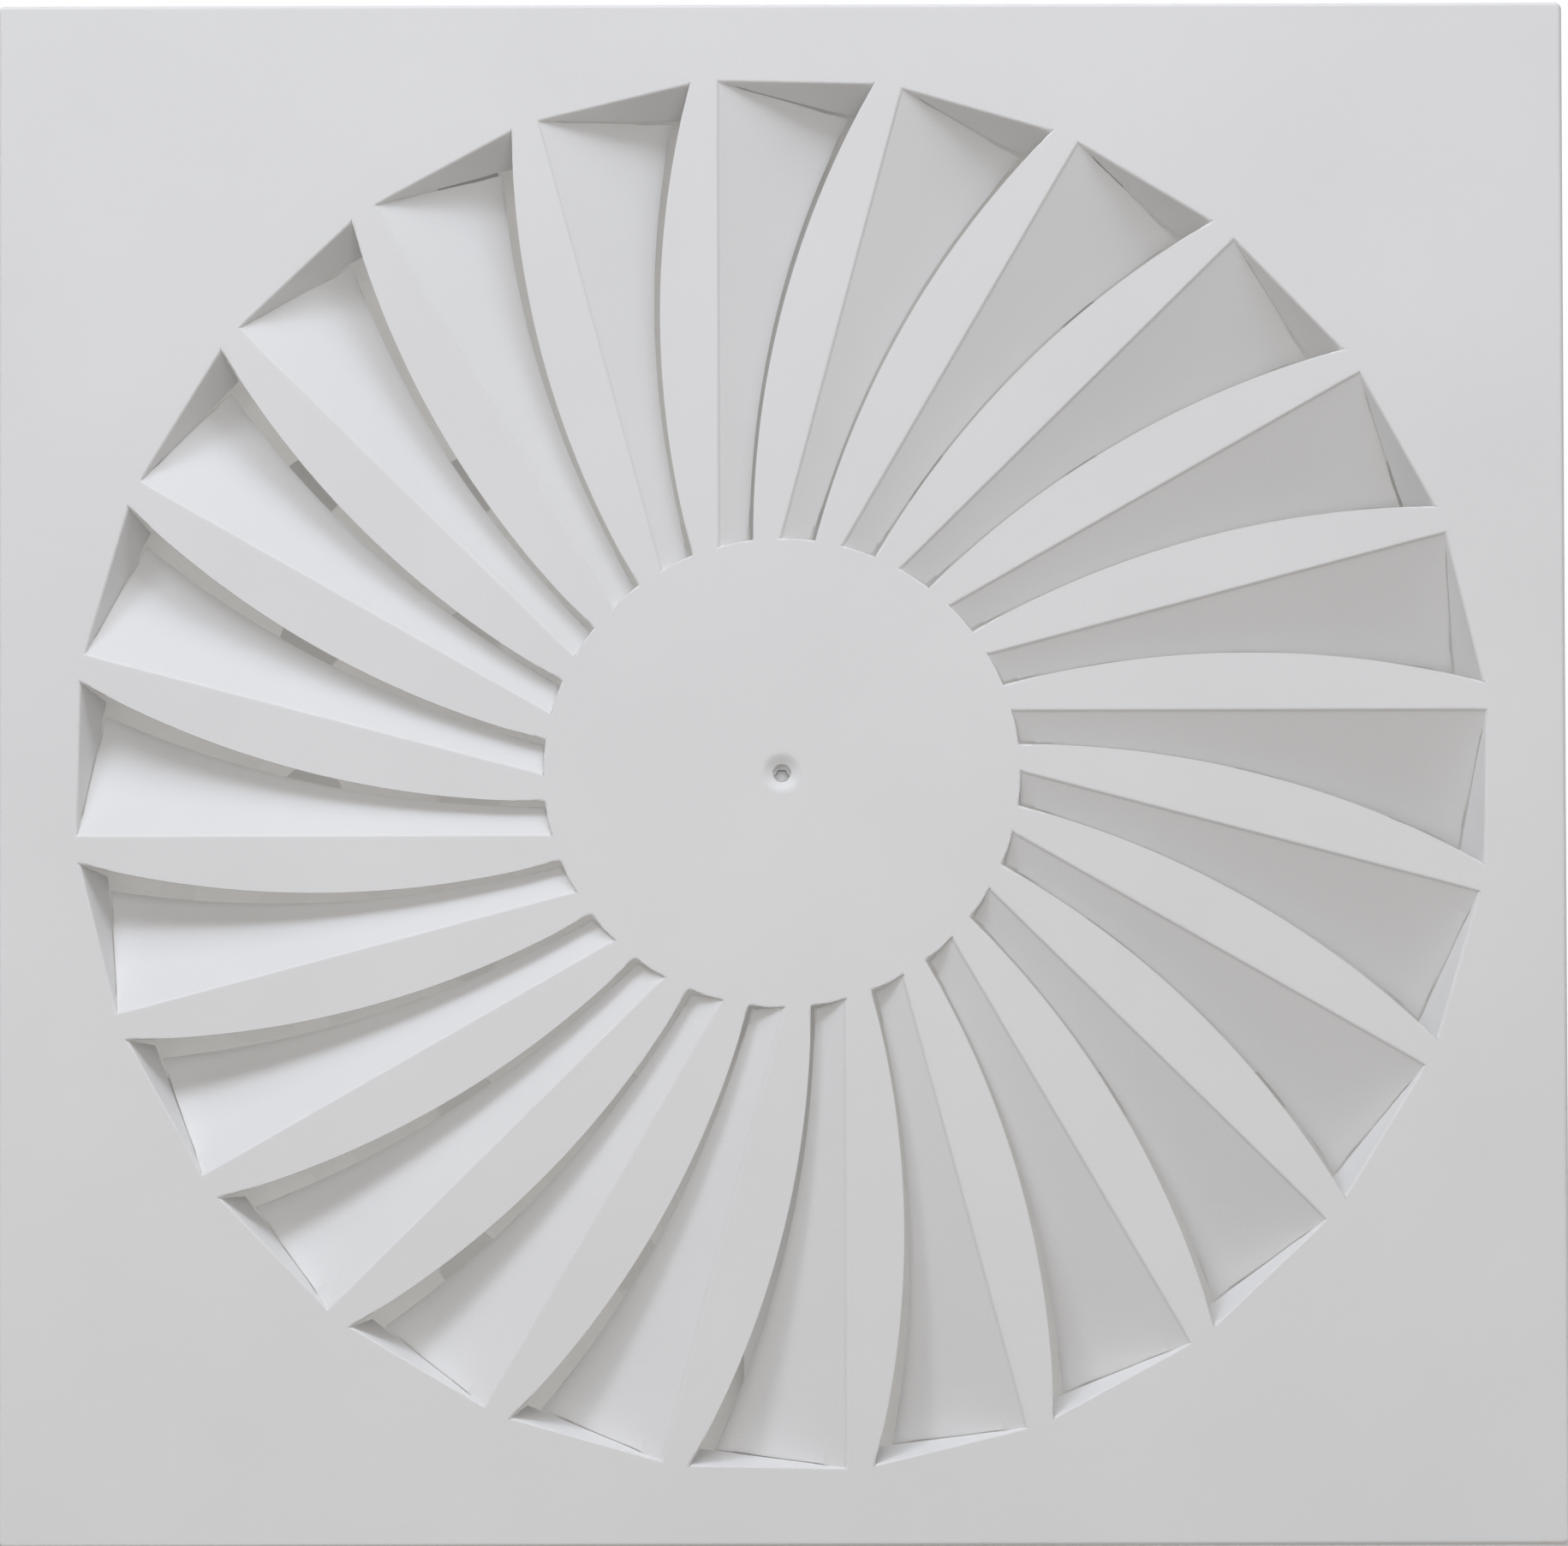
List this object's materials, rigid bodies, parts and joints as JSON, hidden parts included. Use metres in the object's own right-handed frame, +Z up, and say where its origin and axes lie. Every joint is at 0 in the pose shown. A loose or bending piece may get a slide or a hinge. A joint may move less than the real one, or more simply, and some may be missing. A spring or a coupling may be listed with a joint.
{
  "type": "ceiling air diffuser",
  "caption": "Square swirl ceiling diffuser with fixed curved blades pressed out of one face plate, fixed by a centre screw under a side-entry plenum box with a damper in its duct spigot.",
  "frame": {"origin": "centre of the visible face of the face plate, in the plane of that face", "axes": "+Z up into the ceiling void and away from the room, +X along the duct spigot, +Y across it; the visible face looks along -Z"},
  "size_m": [0.734, 0.598, 0.3308],
  "materials": {
    "face_paint": "satin white powder coat on steel sheet",
    "gasket_foam": "closed-cell foam strip",
    "galvanised_sheet": "hot-dip galvanised steel with a soft spangle",
    "zinc_plate": "bright zinc plate",
    "bright_steel": "bright drawn bar",
    "spring_steel": "blackened spring steel",
    "rivet_aluminium": "plain aluminium",
    "seal_rubber": "matt black rubber",
    "bush_nylon": "natural nylon"
  },
  "bodies": {
    "plenum": {"corner_rivets": "rivet_aluminium", "crossbar": "galvanised_sheet", "crossbar_rivets": "rivet_aluminium", "equaliser_brackets": "galvanised_sheet", "equaliser_plate": "galvanised_sheet", "equaliser_rivets": "rivet_aluminium", "equaliser_screws": "zinc_plate", "hanger_1": "galvanised_sheet", "hanger_2": "galvanised_sheet", "hanger_3": "galvanised_sheet", "hanger_4": "galvanised_sheet", "hanger_rivets": "rivet_aluminium", "lid_rivets": "rivet_aluminium", "lip_seal": "seal_rubber", "lower_bush": "bush_nylon", "plenum_side_left": "galvanised_sheet", "plenum_side_rear": "galvanised_sheet", "plenum_side_right": "galvanised_sheet", "plenum_side_spigot": "galvanised_sheet", "plenum_top": "galvanised_sheet", "quadrant_bracket": "zinc_plate", "rivet_nut": "zinc_plate", "spigot_rivets": "rivet_aluminium", "spigot_tube": "galvanised_sheet", "upper_bush": "bush_nylon"},
    "face": {"face_plate": "face_paint", "face_gasket": "gasket_foam", "screw_cage": "zinc_plate"},
    "screw": {"centre_screw": "zinc_plate", "screw_push_ring": "spring_steel"},
    "damper": {"damper_blade": "galvanised_sheet", "damper_shaft": "bright_steel", "blade_screws": "zinc_plate", "damper_lever": "zinc_plate", "clamp_bolt": "zinc_plate", "clamp_washer": "zinc_plate", "shaft_clip": "spring_steel"},
    "wing_nut": {"wing_nut": "zinc_plate"}
  },
  "joints": [
    {"name": "face_drop", "type": "slide", "parent": "plenum", "child": "face", "axis": [0, 0, -1], "range_m": [0, 0.1]},
    {"name": "screw_turn", "type": "hinge", "parent": "face", "child": "screw", "pos_m": [0, 0, 0.014], "axis": [0, 0, 1], "continuous": true},
    {"name": "damper_turn", "type": "hinge", "parent": "plenum", "child": "damper", "pos_m": [0.312, 0, 0.184], "axis": [0, 0, 1], "range_deg": [0, 90]},
    {"name": "wing_nut_turn", "type": "hinge", "parent": "damper", "child": "wing_nut", "pos_m": [0.33038, -0.01838, 0.32], "axis": [0, 0, 1], "range_deg": [0, 360]}
  ]
}
